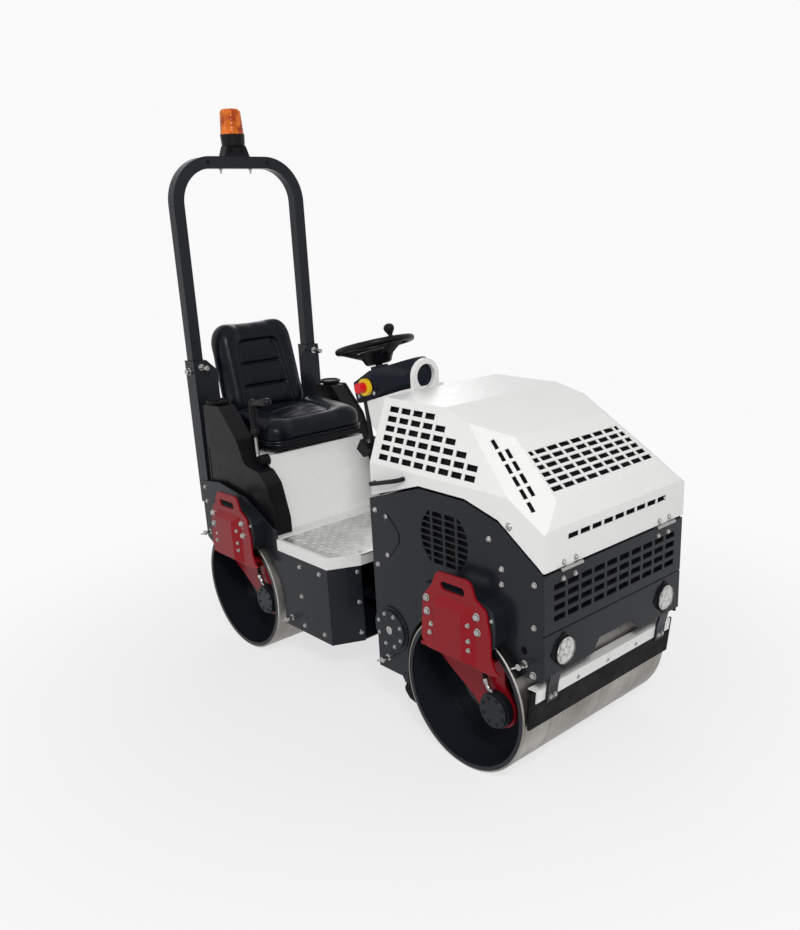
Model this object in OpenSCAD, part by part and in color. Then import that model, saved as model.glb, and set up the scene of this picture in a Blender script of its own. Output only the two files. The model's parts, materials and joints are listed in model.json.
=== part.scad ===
// Articulated tandem road roller with a hinged engine hood and a folding roll bar.
// +X forward, +Y left, +Z up, ground at Z = 0. The front half is drawn from the
// front drum's axis and the rear half from the rear drum's axis.

/* [Drums] */
// Outer diameter of both drums
drum_d = 560; // [540:1:580]
// Width of both drums
drum_w = 786; // [770:1:800]
// Thickness of the drum shell
drum_wall = 16; // [10:1:20]
// Depth of the open recess in each drum end
drum_recess = 163; // [150:1:170]
// Distance between the drum axes
wheelbase = 1400; // [1380:1:1420]
// X of the midpoint between the drum axes
axle_mid = 26.4; // [0:0.1:60]

/* [Frames] */
// Half width over the side panels
panel_y = 372; // [366:1:376]
// Thickness of the side panels
panel_t = 8; // [6:1:10]
// Radius of the side panel's arch over a drum
arch_r = 304; // [298:1:308]
// Height of the footplate's tread
tread_z = 573; // [565:1:580]
// Height of the footplate's white rim
tray_h = 48; // [40:1:52]
// Lowest edge of the rear frame's box
box_z = 196; // [180:1:210]

/* [Hood] */
// Height of the hood's flat top
hood_z = 1240; // [1230:1:1250]
// Half width of the flat top
hood_top_y = 285; // [275:1:295]
// Height of the crease along the side
crease_z = 1020; // [1010:1:1030]
// Thickness of the hood's skin
hood_t = 4; // [3:1:6]
// Gap between the hood and the side panels
hood_gap = 9; // [7:1:12]

/* [Roll bar] */
// Height over the hoop
hoop_z = 2118; // [2090:1:2140]
// Half width over the hoop
hoop_y = 333; // [325:1:336]
// Side of the hoop's square tube
hoop_tube = 50; // [44:1:54]
// Outer bend radius of the hoop
hoop_bend = 195; // [150:1:210]
// Height of the fold's hinge pin
fold_z = 1215; // [1205:1:1225]

/* [Seat] */
// Half width of the cushion
cushion_y = 244; // [230:1:250]
// Half width of the backrest
back_y = 218; // [205:1:225]
// Lean of the backrest
back_lean = 14; // [10:1:16]

/* [Steering] */
// Outer diameter of the steering wheel
wheel_d = 322; // [310:1:340]
// Tilt of the steering column
column_tilt = 15; // [12:1:18]
// Radius of the pivot pin of the articulation
pin_r = 24; // [20:1:26]

/* [Hidden] */
$fn = 64;
drum_r = drum_d / 2;
ax_f = axle_mid + wheelbase / 2;
ax_r = axle_mid - wheelbase / 2;
// Running clearance of a shaft in its bore
run = 0.05;
// Distance from the front drum's axis back to the articulation pivot
pivot_u = -592;
// Pivot seen from the rear drum's axis
pivot_v = wheelbase + pivot_u;
hitch_z = 390;
shaft_r = 42;
// Stations of the front half, from the front drum's axis
wall_u = -470;
nose_u = 346;
// Rear face of the grille and the lamp panel
lamp_u = 338;
hood_rear_u = -457;
hood_front_u = 348;
// Hood hinges: axis, barrel and the middles of the two hinges
hinge_u = 356;
hinge_z = 806;
hinge_r = 6;
hinge_pin_r = 3;
hinge_ys = [-254, 254];
hinge_half = 53;
// Planes of the red drum brackets, as distances from the middle
arm_y = 300;
arm_t = 12;
plate_y = 425;
plate_t = 8;
can_z = 500;
slot_z = 687;
// Top of the front scraper's blade
scraper_top = 400;
// Middle of the drive motor, from the drum's axis
motor_dx = 95;
motor_dz = -46;
motor_r = 66;
// Rear wall and bulkhead, from the rear drum's axis
rear_v = -309;
bulkhead_v = 322;
// Where the side panels step down to the footplate
step_v = 283;
bulkhead_t = 12;
// Roll bar plane, from the rear drum's axis
hoop_v = -351;
fold_pin_r = 11;
// Foot of the beacon's lens above the bar
beacon_z = 90;
// Seat
cushion_front_v = 138;
cushion_rear_v = -240;
cushion_z = 915;
cushion_h = 92;
back_len = 420;
back_t = 80;
// Steering wheel and console
wheel_u = -848;
wheel_z = 1358;
rim_r = 13;
console_front_u = -569;
console_rear_u = -820;
console_y = 128;
console_nose_y = 62;
// Lifting eye at the console's front
eye_r = 65;
eye_z = 1265;
wheel_shaft_r = 14;
// Steering cylinder
cyl_y = 131;
cyl_arm = 140;
cyl_base_v = 430;

// Helpers

// Draws in the front half's frame
module front() translate([ax_f, 0, 0]) children();

// Draws in the rear half's frame
module rear() translate([ax_r, 0, 0]) children();

// The children and their mirror image on the other side
module pair() {
  children();
  mirror([0, 1, 0]) children();
}

// A side outline of [x, z] points, from y0 to y1
module side_slab(points, y0, y1)
  translate([0, y1, 0]) rotate([90, 0, 0]) linear_extrude(y1 - y0) polygon(points);

// A cross-section of [y, z] points, from x0 to x1
module cross_slab(points, x0, x1)
  translate([x0, 0, 0]) rotate([90, 0, 90]) linear_extrude(x1 - x0) polygon(points);

// A plan of [x, y] points, from z0 to z1
module plan_slab(points, z0, z1) translate([0, 0, z0]) linear_extrude(z1 - z0) polygon(points);

// A box between two corners
module block(a, b) translate(a) cube(b - a);

// A cylinder along Y, from y0 to y1
module rod_y(x, z, r, y0, y1) translate([x, y0, z]) rotate([-90, 0, 0]) cylinder(r = r, h = y1 - y0);

// A cylinder along X, from x0 to x1
module rod_x(y, z, r, x0, x1) translate([x0, y, z]) rotate([0, 90, 0]) cylinder(r = r, h = x1 - x0);

// A rectangle with round corners
module round_rect(w, h, r) {
  square([w - 2 * r, h], center = true);
  square([w, h - 2 * r], center = true);
  for (x = [-1, 1], y = [-1, 1]) translate([x * (w / 2 - r), y * (h / 2 - r)]) circle(r = r);
}

function unit(v) = v / norm(v);

// Points of the arc that rounds one corner, each corner given as [x, y, radius]
function corner_arc(p, q, s, n) = q[2] == 0 ? [[q[0], q[1]]] : let(
    b = [q[0], q[1]], d1 = unit([p[0], p[1]] - b), d2 = unit([s[0], s[1]] - b),
    half = acos(d1 * d2) / 2, middle = b + unit(d1 + d2) * q[2] / sin(half),
    from = b + d1 * q[2] / tan(half) - middle, to = b + d2 * q[2] / tan(half) - middle,
    start = atan2(from[1], from[0]), turn = atan2(to[1], to[0]) - start,
    sweep = turn > 180 ? turn - 360 : turn < -180 ? turn + 360 : turn)
  [for (k = [0:n]) middle + q[2] * [cos(start + sweep * k / n), sin(start + sweep * k / n)]];

// A closed outline with each corner rounded by its own radius
function rounded(points, n = 4) = let(m = len(points))
  [for (i = [0:m - 1]) each corner_arc(points[(i + m - 1) % m], points[i], points[(i + 1) % m], n)];

// Both halves share the drum, its hubs, motors, brackets and cans

module drum() {
  hub_r = 75;
  bore_depth = 100;
  chamfer = 3;
  half = drum_w / 2;
  translate([0, 0, drum_r]) rotate([90, 0, 0]) difference() {
    union() {
      translate([0, 0, -half]) difference() {
        cylinder(r = drum_r, h = drum_w, $fn = 128);
        for (z = [0, drum_w]) translate([0, 0, z]) rim_cut(chamfer);
      }
    }
    pair_z() translate([0, 0, half - drum_recess]) difference() {
      cylinder(r = drum_r - drum_wall, h = drum_recess + 1, $fn = 128);
      cylinder(r = hub_r, h = drum_recess - half + arm_y - 25);
    }
    pair_z() translate([0, 0, arm_y - 25 - bore_depth]) cylinder(r = shaft_r + run, h = bore_depth + 1);
  }
}

// The children and their mirror image along Z
module pair_z() {
  children();
  mirror([0, 0, 1]) children();
}

// The corner taken off a drum's rim
module rim_cut(c)
  rotate_extrude($fn = 128)
    polygon([[drum_r - c, 0], [drum_r, -c], [drum_r + 1, -c], [drum_r + 1, c], [drum_r, c]]);

// Flange and stub axle that carry one end of a drum
module hub() {
  flange_r = 85;
  flange_t = 15;
  stub = 90;
  rod_y(0, drum_r, flange_r, arm_y - flange_t, arm_y);
  rod_y(0, drum_r, shaft_r, arm_y - flange_t - stub, arm_y - flange_t);
}

// Hydraulic drive motor on the bracket's arm
module motor() {
  body_h = 24;
  cap_h = 12;
  translate([motor_dx, 0, drum_r + motor_dz]) {
    rod_y(0, 0, motor_r, arm_y + arm_t, arm_y + arm_t + body_h);
    rod_y(0, 0, motor_r - 6, arm_y + arm_t + body_h, arm_y + arm_t + body_h + cap_h);
  }
}

// Bolted bracket that reaches over the drum's end and down to its hub
module bracket() {
  slot_w = 112;
  slot_h = 30;
  face = plate_y + plate_t;
  cover_y = plate_y + 30;
  step_z = 432;
  step_t = 12;
  outline = rounded([[-64, 732, 26], [90, 736, 30], [112, 678, 14], [158, 650, 26], [174, 566, 30],
    [174, 492, 24], [192, 452, 12], [214, 444, 3], [180, step_z, 10], [-122, step_z + 4, 24], [-152, 464, 20],
    [-138, 624, 30], [-92, 678, 14]]);
  arm = rounded([[-165, step_z + step_t, 0], [-190, 370, 25], [-186, 338, 15], [-20, 232, 60], [30, 172, 30],
    [95, 150, 40], [165, 190, 50], [172, 260, 40], [122, 330, 30], [122, step_z + step_t, 0]]);
  difference() {
    side_slab(outline, plate_y, face);
    translate([8, face + 1, slot_z]) rotate([90, 0, 0]) linear_extrude(plate_t + 2)
      round_rect(slot_w, slot_h, 14.9);
  }
  // Raised cover with sloped edges
  intersection() {
    plan_slab([[-66, face], [-62, cover_y], [62, cover_y], [110, face]], 440, 650);
    cross_slab([[face, 440], [cover_y, 452], [cover_y, 624], [face, 650]], -70, 114);
  }
  // Step from the plate into the drum's recess
  block([-165, arm_y, step_z], [122, plate_y, step_z + step_t]);
  side_slab(arm, arm_y, arm_y + arm_t);
  // Gusset under the step
  side_slab([[-20, step_z], [60, step_z], [40, step_z - 60], [0, step_z - 60]],
    arm_y + arm_t, arm_y + arm_t + 40);
}

// Round-cornered housing between the side panel and the bracket's plate
module can() {
  can_w = 364;
  can_h = 172;
  rim_gap = 8;
  end_gap = 6;
  difference() {
    translate([8, plate_y, can_z + can_h / 2]) rotate([90, 0, 0])
      linear_extrude(plate_y - panel_y) round_rect(can_w, can_h, 58);
    rod_y(0, drum_r, drum_r + rim_gap, panel_y - 1, drum_w / 2 + end_gap);
  }
}

// Rear half

// Plan of the footplate and the box under it, with its corners cut for the articulation
function deck_plan(inset) = [[step_v, -panel_y + inset], [627, -panel_y + inset], [687, -246 + inset / 2],
  [687, 246 - inset / 2], [627, panel_y - inset], [step_v, panel_y - inset]];

module rear_frame() color("dimgray") rear() {
  deck_z = 590;
  deck_end = 150;
  tray_bottom = tread_z - tray_h;
  pair() {
    difference() {
      side_slab([[rear_v, 451], [rear_v, 722], [-148, 742], [61, 712], [step_v, 604], [step_v, tray_bottom],
        [627, tray_bottom], [627, box_z], [150, box_z]], panel_y - panel_t, panel_y);
      rod_y(0, drum_r, arch_r, panel_y - panel_t - 1, panel_y + 1);
    }
    // Corner panel cut back for the articulation
    plan_slab([[627, panel_y], [687, 246], [687 - panel_t, 246], [627 - panel_t, panel_y - panel_t]],
      box_z, tray_bottom);
  }
  // Bulkhead, floor, deck over the drum and rear wall
  block([bulkhead_v, -panel_y + panel_t, box_z], [bulkhead_v + bulkhead_t, panel_y - panel_t, tray_bottom]);
  plan_slab([[bulkhead_v, -panel_y + panel_t], [627 - panel_t, -panel_y + panel_t], [687 - panel_t, -246],
    [687 - panel_t, 246], [627 - panel_t, panel_y - panel_t], [bulkhead_v, panel_y - panel_t]],
    box_z, box_z + 8);
  block([rear_v, -panel_y + panel_t, deck_z], [deck_end, panel_y - panel_t, deck_z + 10]);
  block([rear_v, -panel_y + panel_t, deck_z + 10], [rear_v + 10, panel_y - panel_t, 717]);
}

module footplate() color("white") rear() {
  rim_w = 16;
  lip = 8;
  difference() {
    plan_slab(deck_plan(0), tread_z - tray_h, tread_z);
    plan_slab(deck_plan(rim_w), tread_z - lip, tread_z + 1);
  }
  // Strip that runs back under the seat base's front
  block([150, -262, tread_z - 26], [step_v, 262, tread_z]);
  // Ledges in front of the tanks
  pair() block([214, 250, tread_z - 26], [step_v, panel_y - panel_t, tread_z]);
}

module tread_plate() color("lightgray") rear() plan_slab(deck_plan(18), tread_z - 8, tread_z - 3);

module seat_base() color("white") rear() {
  base_y = 262;
  top_z = 880;
  side_slab([[214, tread_z], [96, top_z], [-250, top_z], [-299, 800], [-299, 600], [150, 600],
    [150, tread_z]], -base_y, base_y);
}

// Height of the backrest's lower face at a station
function back_foot(v) = cushion_z + 81.8 + (v - cushion_rear_v + 8) * tan(back_lean);

module seat_pan() color("black") rear() {
  pan_y = 225;
  // Runners under a pressed pan
  pair() block([-215, 150, 880], [80, 185, 897]);
  block([cushion_rear_v + 15, -pan_y, 897], [cushion_front_v - 18, pan_y, cushion_z]);
  // Upright that carries the backrest, cut to its lean
  side_slab([[cushion_rear_v + 15, 880], [cushion_rear_v + 15, cushion_z], [-268, cushion_z],
    [-268, back_foot(-268)], [-304, back_foot(-304)], [-304, 880]], -60, 60);
}

// Tank fillers
cap_y = 308;
cap_z = 1062;

// Outline with round corners, as a slab between two heights
module soft_slab(x0, x1, y, z0, z1, r, edge) hull() {
  for (x = [x0 + r, x1 - r], s = [-1, 1]) translate([x, s * (y - r), z0 + edge]) {
    cylinder(r = r, h = z1 - z0 - 2 * edge, $fn = 32);
    translate([0, 0, -edge]) cylinder(r = r - edge, h = z1 - z0, $fn = 32);
  }
}

module seat_cushion() color("black") rear()
  soft_slab(cushion_rear_v, cushion_front_v, cushion_y, cushion_z, cushion_z + cushion_h, 70, 16);

module seat_back() color("black") rear() translate([cushion_rear_v - 8, 0, cushion_z + 82])
  rotate([0, -90 - back_lean, 0])
  soft_slab(0, back_len, back_y, 0, back_t, 90, 18);

module water_tanks() color("black") rear() {
  outer_y = 352;
  inner_y = 268;
  rim_t = 8;
  rim_rise = 4;
  panel_sink = 2;
  outline = rounded([[-253, 600, 0], [-253, 1076, 24], [-124, 1082, 18], [0, 954, 60], [46, 850, 30],
    [150, 834, 40], [203, 785, 40], [248, 640, 12], [248, tread_z, 0], [160, tread_z, 0], [160, 600, 0]]);
  rim = [for (p = outline) p[1] > 610 ? p + [rim_rise, rim_rise] : p];
  pair() difference() {
    union() {
      side_slab(outline, inner_y, outer_y - rim_t);
      side_slab(rim, outer_y - rim_t, outer_y);
    }
    // Pocket of the filler
    translate([-190, cap_y, cap_z]) cylinder(r = 34, h = 60);
    // Sunk lower field of the outer face
    side_slab([[-240, 605], [-240, 890], [-140, 860], [225, 663], [235, 605]],
      outer_y - panel_sink, outer_y + 1);
  }
}

module tank_caps() color("black") rear() pair() translate([-190, cap_y, cap_z]) {
  cylinder(r = 32, h = 26);
  translate([0, 0, 26]) cylinder(r = 37, h = 12);
}

module travel_lever() color("black") rear() translate([66, -290, 0]) {
  rod = 7;
  bend = 26;
  grip = 17;
  boot_z = 868;
  // Boot on the seat base, and the rod that turns up out of it
  rod_y(bend + 8, boot_z, 24, -12, 28);
  translate([bend, 0, boot_z + bend]) rotate([90, 0, 0]) rotate(180) rotate_extrude(angle = 90)
    translate([bend, 0]) circle(r = rod);
  translate([0, 0, boot_z + bend]) cylinder(r = rod, h = 90);
  translate([0, 0, 966]) cylinder(r = 12, h = 20, $fn = 6);
  // Grip shaped like a seven
  translate([0, 0, 982]) rotate_extrude()
    polygon([[0, 0], [21, 0], [20, 14], [grip, 24], [grip, 136], [12, 146], [0, 149]]);
  translate([0, 0, 1110]) rotate([0, 80, 0]) rotate_extrude()
    polygon([[0, -6], [15, -6], [15, 40], [19, 90], [19, 118], [14, 130], [6, 135], [0, 136]]);
}

module rear_cans() color("dimgray") rear() pair() can();

module rear_brackets() color("crimson") rear() pair() bracket();

module rear_hubs() color("dimgray") rear() pair() hub();

module rear_motors() color("dimgray") rear() pair() motor();

// Scraper blades: gap to the drum, lower edge, thickness and lean from upright
blade_gap = 6;
blade_z = 262;
blade_t = 10;
blade_lean = 0.12;

// Distance of a blade's outer face from the drum's axis, at a height
function blade_face(z) = drum_r + blade_gap + blade_t + (z - blade_z) * blade_lean;

// Side outline of a strip that lies on a blade's outer face
function strip(z0, z1, from, to) = [[blade_face(z0) + from, z0], [blade_face(z0) + to, z0],
  [blade_face(z1) + to, z1], [blade_face(z1) + from, z1]];

module rear_scrapers() color("black") rear() {
  blade_y = 358;
  // Before the drum, hung on the bulkhead
  side_slab(strip(blade_z, 380, -blade_t, 0), -blade_y, blade_y);
  pair() block([drum_r + 20, 200, 350], [bulkhead_v, 240, 380]);
  // Behind the drum, hung under the deck
  mirror([1, 0, 0]) side_slab(strip(blade_z, 380, -blade_t, 0), -blade_y, blade_y);
  pair() block([rear_v, 200, 350], [rear_v + 10, 240, 590]);
}

module roll_bar_sockets() color("dimgray") rear() {
  cheek = 6;
  side_gap = 1;
  x0 = hoop_v - hoop_tube / 2 - 12;
  pair() difference() {
    block([x0, hoop_y - hoop_tube - side_gap - cheek, 600], [rear_v, hoop_y + side_gap + cheek, 1262]);
    block([x0 - 1, hoop_y - hoop_tube - side_gap, 1150], [rear_v - cheek, hoop_y + side_gap, 1263]);
    rod_y(hoop_v, fold_z, fold_pin_r + run, 200, 400);
  }
  // Gussets on the inner sides
  inner_y = hoop_y - hoop_tube - side_gap - cheek;
  pair() cross_slab([[inner_y, 1262], [226, 1212], [226, 900], [inner_y, 860]], rear_v - cheek, rear_v);
}

module hitch_fork() color("dimgray") rear() {
  root_v = bulkhead_v + bulkhead_t;
  for (z = [300, 462]) {
    plan_slab([[root_v, -150], [pivot_v, -60], [pivot_v, 60], [root_v, 150]], z, z + 20);
    translate([pivot_v, 0, z]) cylinder(r = 60, h = 20);
  }
  // Pivot pin, held in both plates
  translate([pivot_v, 0, 290]) cylinder(r = pin_r, h = 202);
}

module steering_barrel() color("dimgray") rear() {
  barrel_r = 30;
  rod_r = 15;
  difference() {
    union() {
      rod_x(cyl_y, hitch_z, barrel_r, cyl_base_v, 640);
      block([bulkhead_v + bulkhead_t, cyl_y - 20, hitch_z - 20], [cyl_base_v, cyl_y + 20, hitch_z + 20]);
    }
    rod_x(cyl_y, hitch_z, rod_r + run, 480, 641);
  }
}

module rear_drum() color("silver") rear() drum();

// Roll bar

module roll_bar() color("dimgray") rear() {
  t = hoop_tube;
  bend = hoop_bend;
  leg_top = hoop_z - bend;
  pair() {
    block([hoop_v - t / 2, hoop_y - t, fold_z - 18], [hoop_v + t / 2, hoop_y, leg_top]);
    translate([hoop_v, hoop_y - bend, leg_top]) rotate([90, 0, 90]) rotate_extrude(angle = 90, $fn = 96)
      translate([bend - t, -t / 2]) square(t);
    rod_y(hoop_v, fold_z, fold_pin_r, hoop_y - t - 14, hoop_y + 14);
  }
  block([hoop_v - t / 2, -hoop_y + bend, hoop_z - t], [hoop_v + t / 2, hoop_y - bend, hoop_z]);
}

// Bracket on the bar and the black foot of the beacon
module beacon_base() color("black") rear() translate([hoop_v, 0, hoop_z]) {
  bracket_h = 43;
  cross_slab([[-64, 0], [64, 0], [48, bracket_h], [-48, bracket_h]], -24, 24);
  translate([0, 0, bracket_h]) cylinder(r1 = 50, r2 = 53, h = beacon_z - bracket_h);
}

module beacon_lens() color("orange") rear() translate([hoop_v, 0, hoop_z + beacon_z]) {
  rib_pitch = 8;
  rib = 1.2;
  sides = [for (k = [0:10]) [51 - (k % 2) * rib - k * 0.5, 6 + k * rib_pitch]];
  rotate_extrude() polygon(concat([[0, 0], [52, 0], [52, 5]], sides, [[44, 95], [37, 102], [0, 104]]));
}

// Articulation

module hitch_knuckle() color("dimgray") rear() translate([pivot_v, 0, hitch_z]) {
  difference() {
    union() {
      translate([0, 0, -64]) cylinder(r = 56, h = 128);
      rod_x(0, 0, shaft_r, 40, 190);
      rod_x(0, 0, shaft_r + 16, 40, 76);
      plan_slab([[-30, 20], [40, 20], [22, cyl_arm], [-22, cyl_arm]], -10, 10);
      translate([0, cyl_arm, -10]) cylinder(r = 22, h = 20);
      translate([0, cyl_arm, -28]) cylinder(r = 9, h = 56);
    }
    translate([0, 0, -65]) cylinder(r = pin_r + run, h = 130);
  }
}

module steering_rod() color("silver") rear() {
  rod_r = 15;
  eye_r = 36;
  hole_r = 21;
  eye_t = 12;
  eye_z = hitch_z + 14;
  rod_x(cyl_y, hitch_z, rod_r, 560, pivot_v - 58);
  block([pivot_v - 70, cyl_y - 14, hitch_z - 10], [pivot_v - 46, cyl_y + 14, eye_z + eye_t]);
  difference() {
    union() {
      translate([pivot_v, cyl_y, eye_z]) cylinder(r = eye_r, h = eye_t);
      block([pivot_v - 60, cyl_y - 14, eye_z], [pivot_v, cyl_y + 14, eye_z + eye_t]);
    }
    translate([pivot_v, cyl_y, eye_z - 1]) cylinder(r = hole_r, h = eye_t + 2);
  }
}

// Front half

// Top edge of the side panels, as [x, z]
panel_top = [[wall_u, 887], [-205, 972], [14, 971], [160, 931], [330, 811]];

module front_frame() color("dimgray") front() difference() {
  deck_z = 590;
  tube_r = 66;
  tube_end = -330;
  inner_y = panel_y - panel_t;
  union() {
    // Rear wall, deck over the drum and nose beam
    block([wall_u, -inner_y, 230], [wall_u + 12, inner_y, 885]);
    block([wall_u + 12, -inner_y, deck_z], [lamp_u, inner_y, deck_z + 10]);
    block([290, -inner_y, deck_z + 10], [lamp_u, inner_y, deck_z + 40]);
    rod_x(0, hitch_z, tube_r, wall_u - 40, tube_end);
  }
  rod_x(0, hitch_z, shaft_r + run, wall_u - 60, tube_end + 1);
}

// Side panels, each with a lashing hole and a round field of slots
module front_panels() color("dimgray") front() pair() difference() {
  tie_r = 14;
  field_u = -88;
  field_z = 815;
  field_r = 114;
  slot = [48, 18];
  pitch = [59, 23.8];
  y0 = panel_y - panel_t - 1;
  y1 = panel_y + 1;
  side_slab(concat(panel_top, [[lamp_u, 811], [lamp_u, 440], [220, 440], [0, drum_r], [-300, 250],
    [-318, 244], [-345, 220], [wall_u, 220]]), panel_y - panel_t, panel_y);
  rod_y(0, drum_r, arch_r, y0, y1);
  rod_y(263, 530, tie_r, y0, y1);
  intersection() {
    rod_y(field_u, field_z, field_r, y0, y1);
    for (c = [-1.5:1.5], r = [-3.5:3.5]) translate([field_u + c * pitch[0], 0, field_z + r * pitch[1]])
      block([-slot[0] / 2, y0 - 1, -slot[1] / 2], [slot[0] / 2, y1 + 1, slot[1] / 2]);
  }
}

module front_grille() color("dimgray") front() difference() {
  slot = [54, 20];
  pitch = [66.4, 34.6];
  middle_z = 700;
  block([lamp_u, -panel_y, 604], [nose_u, panel_y, 801]);
  for (c = [-4.5:4.5], r = [-1.5:1.5]) translate([0, c * pitch[0], middle_z + r * pitch[1]])
    block([lamp_u - 1, -slot[0] / 2, -slot[1] / 2], [nose_u + 1, slot[0] / 2, slot[1] / 2]);
}

module lamp_panel() color("dimgray") front() difference() {
  cross_slab([[-panel_y, 458], [panel_y, 458], [panel_y, 600], [-panel_y, 600]], lamp_u, nose_u);
  cross_slab([[-147, 440], [-92, 503], [92, 503], [147, 440]], lamp_u - 1, nose_u + 1);
}

// Lamps: middle and lens radius
lamp_y = 277;
lamp_z = 527;
lens_r = 46;
lamp_plate = 5;

module lamp_housings() color("black") front() pair() translate([nose_u, lamp_y, lamp_z]) {
  ear = 66;
  ring = 5;
  cross_slab(rounded([[0, ear, 10], [ear, 0, 10], [0, -ear, 10], [-ear, 0, 10]]), 0, lamp_plate);
  difference() {
    rod_x(0, 0, lens_r + 3, lamp_plate, lamp_plate + ring);
    rod_x(0, 0, lens_r, lamp_plate, lamp_plate + ring + 1);
  }
}

module lamp_lenses() color("lightgray") front() pair() translate([nose_u + lamp_plate, lamp_y, lamp_z])
  rod_x(0, 0, lens_r, 0, 4);

module front_cans() color("dimgray") front() pair() can();

module front_brackets() color("crimson") front() pair() bracket();

module front_hubs() color("dimgray") front() pair() hub();

module front_motors() color("dimgray") front() pair() motor();

// White angle on the blade: a front flange and a top flange
module scraper_bar() color("white") front() {
  bar_y = 372;
  t = 4;
  side_slab(strip(358, scraper_top + t, 0, t), -bar_y, bar_y);
  side_slab(strip(scraper_top, scraper_top + t, -34, t), -bar_y, bar_y);
}

module scraper_blade() color("black") front() {
  blade_y = 388;
  tail_y = 358;
  side_slab(strip(blade_z, scraper_top, -blade_t, 0), -blade_y, blade_y);
  // Rubber strip behind the drum
  side_slab(rounded([[-334, 190, 0], [-350, 158, 20], [-322, 128, 20], [-288, 120, 8], [-274, 134, 8],
    [-306, 170, 20], [-312, 200, 0]]), -tail_y, tail_y);
}

// Cranked straps that hang the scraper on the lamp panel, and the ears of the rear strip
module scraper_hangers() color("dimgray") front() {
  bar_t = 4;
  t = 8;
  top = 500;
  bar_top = scraper_top + bar_t;
  face = blade_face(bar_top) + bar_t;
  low = blade_face(345) + bar_t;
  inner_y = panel_y - panel_t;
  pair() side_slab([[low, 345], [low + t, 345], [face + t, bar_top], [lamp_u, 455], [lamp_u, top],
    [lamp_u - t, top], [lamp_u - t, 459], [face, bar_top]], 276, 328);
  // Ears on the side panels that hold the rubber strip
  pair() side_slab([[-334, 190], [-312, 200], [-319, 262], [-352, 262], [-352, 218]], 320, inner_y);
}

module engine() color("gray") front() block([-380, -230, 600], [150, 230, 1090]);

module side_covers() color("dimgray") front() pair() {
  flange_r = 90;
  cover_r = 78;
  flange_t = 5;
  cover_t = 12;
  plate = 3;
  rod_y(-385, 396, flange_r, panel_y, panel_y + flange_t);
  rod_y(-385, 396, cover_r, panel_y, panel_y + cover_t);
  // Inspection plate held by two screws
  side_slab(rounded([[-380, 850, 14], [-300, 770, 45], [-384, 672, 14], [-448, 752, 45]]),
    panel_y, panel_y + plate);
}

// Parts under the console stay this far below it
seat_gap = 0.2;

// Height of the console's underside at a station
function console_under(u) = 1146 + (u - console_rear_u) * 0.3114;

module dash_tower() color("white") front() {
  tower_y = 105;
  rear_u = -640;
  eye_base = 1150;
  side_slab([[wall_u, 620], [wall_u, eye_base], [console_front_u, eye_base],
    [console_front_u, console_under(console_front_u) - seat_gap], [-788, console_under(-788) - seat_gap],
    [-766, 1062], [rear_u, 960], [rear_u, 620]], -tower_y, tower_y);
}

// Wedge that narrows into a round nose at the lifting eye, and the column with the bore for the wheel's shaft
module console() color("midnightblue") front() {
  column_r = 36;
  nose_r = eye_r + 1;
  tail_r = 175;
  shaft = wheel_shaft_r + run;
  crown = rounded([[console_rear_u, console_under(console_rear_u), 6],
    [console_front_u, console_under(console_front_u), 0], [console_front_u, 1340, 0], [-690, 1297, 60],
    [-735, 1284, 30], [-837, 1227, 8]], 6);
  plan = rounded([[-840, -console_y, 0], [-690, -console_y, 80], [console_front_u, -console_nose_y, 0],
    [console_front_u, console_nose_y, 0], [-690, console_y, 80], [-840, console_y, 0]], 6);
  difference() {
    union() {
      intersection() {
        side_slab(crown, -console_y, console_y);
        plan_slab(plan, 1100, 1400);
        translate([-840, 0, eye_z - 3]) rotate([0, 90, 0])
          cylinder(r1 = tail_r, r2 = nose_r, h = console_front_u + 840);
      }
      on_column() translate([0, 0, -170]) cylinder(r = column_r, h = 88);
    }
    on_column() translate([0, 0, -125]) cylinder(r = shaft, h = 44);
  }
}

// Draws along the steering column, from the middle of the wheel
module on_column() translate([wheel_u, 0, wheel_z]) rotate([0, -column_tilt, 0]) children();

module stop_ring() color("gold") front() rod_y(-755, 1220, 33, -console_y - 16, -console_y);

module stop_button() color("red") front() rod_y(-755, 1220, 20, -console_y - 46, -console_y - 16);

module lifting_eye() color("white") front() {
  eye_t = 18;
  hole_r = 45;
  difference() {
    union() {
      rod_x(0, eye_z, eye_r, console_front_u, console_front_u + eye_t);
      block([console_front_u, -eye_r, 1150], [console_front_u + eye_t, eye_r, eye_z]);
    }
    rod_x(0, eye_z, hole_r, console_front_u - 1, console_front_u + eye_t + 1);
  }
}

module brake_pedal() color("black") front() {
  bar_y0 = -104;
  bar_y1 = -96;
  // Hanging bar with a link to the tower
  side_slab([[-811, console_under(-811) - seat_gap], [-793, console_under(-793) - seat_gap], [-753, 900],
    [-640, 900], [-640, 884], [-768, 884]], bar_y0, bar_y1);
  // Square pad
  translate([-812, bar_y0, 966]) rotate([0, 34, 0]) block([-26, -22, -26], [26, 0, 26]);
  side_slab([[-812, 986], [-770, 990], [-766, 966], [-812, 956]], bar_y0, bar_y1);
}

// Hinge halves behind the grille, each with two knuckles on a pin
module hinge_bases() color("dimgray") front() for (y = hinge_ys) translate([0, y, 0]) {
  inner = 18;
  leaf_t = 4;
  flange_z = 804.5;
  for (s = [-1, 1]) {
    y0 = s > 0 ? inner : -hinge_half;
    y1 = s > 0 ? hinge_half : -inner;
    rod_y(hinge_u, hinge_z, hinge_r, y0, y1);
    block([lamp_u - leaf_t, y0, 801], [hinge_u, y1, flange_z]);
  }
  rod_y(hinge_u, hinge_z, hinge_pin_r, -hinge_half, hinge_half);
  block([lamp_u - leaf_t, -hinge_half, 768], [lamp_u, hinge_half, 801]);
}

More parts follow.
